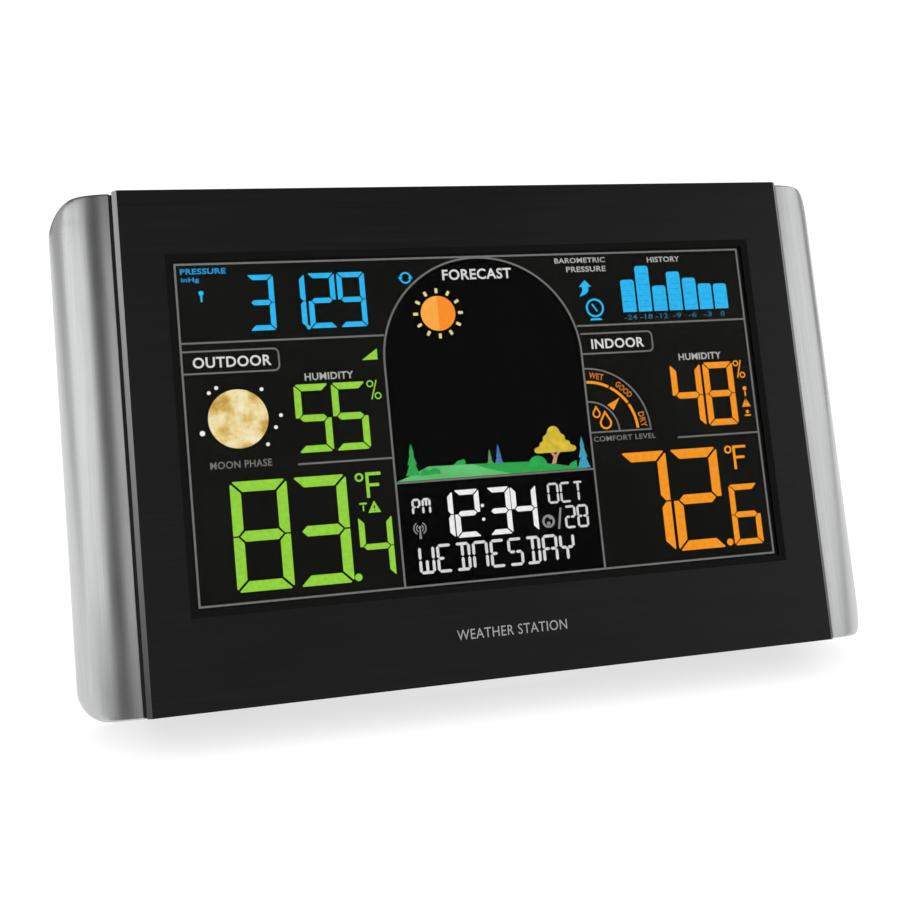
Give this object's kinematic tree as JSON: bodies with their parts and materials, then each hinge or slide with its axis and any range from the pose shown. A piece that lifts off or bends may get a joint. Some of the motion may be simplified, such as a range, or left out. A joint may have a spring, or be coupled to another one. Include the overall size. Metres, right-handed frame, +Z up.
{
  "type": "home weather station",
  "caption": "Desk weather station with a wide colour segment display, black bezel, silver side caps and a fold-out stand.",
  "frame": {"origin": "middle of the footprint of the whole station, on the surface it stands on", "axes": "+X to the right as the face is looked at, the face towards -Y and leaning back 21.6 degrees, +Z up"},
  "size_m": [0.2168, 0.0726, 0.1318],
  "materials": {
    "bezel": "satin black moulded plastic with a faint brushed grain",
    "lens": "clear acrylic window",
    "display": "black liquid crystal panel with lit colour segments",
    "silver": "satin silver metallic paint, brushed along its height",
    "housing": "fine-textured black moulded plastic",
    "rubber": "soft black rubber",
    "keys": "dark grey moulded plastic",
    "steel": "bright zinc-plated steel",
    "contacts": "nickel-plated spring steel",
    "cells": "printed shrink sleeve over a steel can",
    "circuit_board": "green solder resist",
    "copper": "enamelled copper wire",
    "acrylic": "milky acrylic",
    "white_plastic": "white moulded plastic",
    "flex": "amber polyimide flat cable",
    "black_plastic": "black engineering plastic"
  },
  "bodies": {
    "station": {"antenna_wire": "copper", "battery_1": "cells", "battery_2": "cells", "battery_spring_1": "contacts", "battery_spring_2": "contacts", "buzzer": "black_plastic", "case_screw_1": "steel", "case_screw_2": "steel", "case_screw_3": "steel", "case_screw_4": "steel", "case_screw_5": "steel", "case_screw_6": "steel", "contact_bridge": "contacts", "contact_minus": "contacts", "contact_plus": "contacts", "dc_jack": "black_plastic", "display_lens": "lens", "front_bezel": "bezel", "hinge_pin": "steel", "humidity_sensor": "white_plastic", "key_board": "circuit_board", "lcd_panel": "display", "lcd_ribbon": "flex", "lcd_tray": "white_plastic", "led_strip": "circuit_board", "left_cap": "silver", "left_foot": "rubber", "light_guide": "acrylic", "main_board": "circuit_board", "pressure_sensor": "steel", "processor": "black_plastic", "radio_receiver": "circuit_board", "rear_housing": "housing", "reflector_film": "white_plastic", "right_cap": "silver", "right_foot": "rubber", "snooze_switch": "black_plastic", "tact_switch_1": "black_plastic", "tact_switch_2": "black_plastic", "tact_switch_3": "black_plastic", "tact_switch_4": "black_plastic", "tact_switch_5": "black_plastic", "tact_switch_6": "black_plastic"},
    "kickstand": {"kickstand": "housing", "stand_pad": "rubber"},
    "battery_cover": {"battery_cover": "housing"},
    "snooze_button": {"snooze_button": "keys"},
    "rear_key_1": {"rear_key_1": "keys"},
    "rear_key_2": {"rear_key_2": "keys"},
    "rear_key_3": {"rear_key_3": "keys"},
    "rear_key_4": {"rear_key_4": "keys"},
    "rear_key_5": {"rear_key_5": "keys"},
    "rear_key_6": {"rear_key_6": "keys"}
  },
  "joints": [
    {"name": "kickstand_fold", "type": "hinge", "parent": "station", "child": "kickstand", "pos_m": [0, 0.01092, 0.0632], "axis": [1, 0, 0], "range_deg": [-31.6, 0]},
    {"name": "battery_cover_lift", "type": "slide", "parent": "station", "child": "battery_cover", "axis": [0, 0.9298, -0.3681], "range_m": [0, 0.03]},
    {"name": "snooze_press", "type": "slide", "parent": "station", "child": "snooze_button", "axis": [0, -0.3681, -0.9298], "range_m": [0, 0.0008], "stiffness_N_per_m": 900},
    {"name": "rear_key_1_press", "type": "slide", "parent": "station", "child": "rear_key_1", "axis": [0, -0.9298, 0.3681], "range_m": [0, 0.0008], "stiffness_N_per_m": 600},
    {"name": "rear_key_2_press", "type": "slide", "parent": "station", "child": "rear_key_2", "axis": [0, -0.9298, 0.3681], "range_m": [0, 0.0008], "stiffness_N_per_m": 600},
    {"name": "rear_key_3_press", "type": "slide", "parent": "station", "child": "rear_key_3", "axis": [0, -0.9298, 0.3681], "range_m": [0, 0.0008], "stiffness_N_per_m": 600},
    {"name": "rear_key_4_press", "type": "slide", "parent": "station", "child": "rear_key_4", "axis": [0, -0.9298, 0.3681], "range_m": [0, 0.0008], "stiffness_N_per_m": 600},
    {"name": "rear_key_5_press", "type": "slide", "parent": "station", "child": "rear_key_5", "axis": [0, -0.9298, 0.3681], "range_m": [0, 0.0008], "stiffness_N_per_m": 600},
    {"name": "rear_key_6_press", "type": "slide", "parent": "station", "child": "rear_key_6", "axis": [0, -0.9298, 0.3681], "range_m": [0, 0.0008], "stiffness_N_per_m": 600}
  ]
}
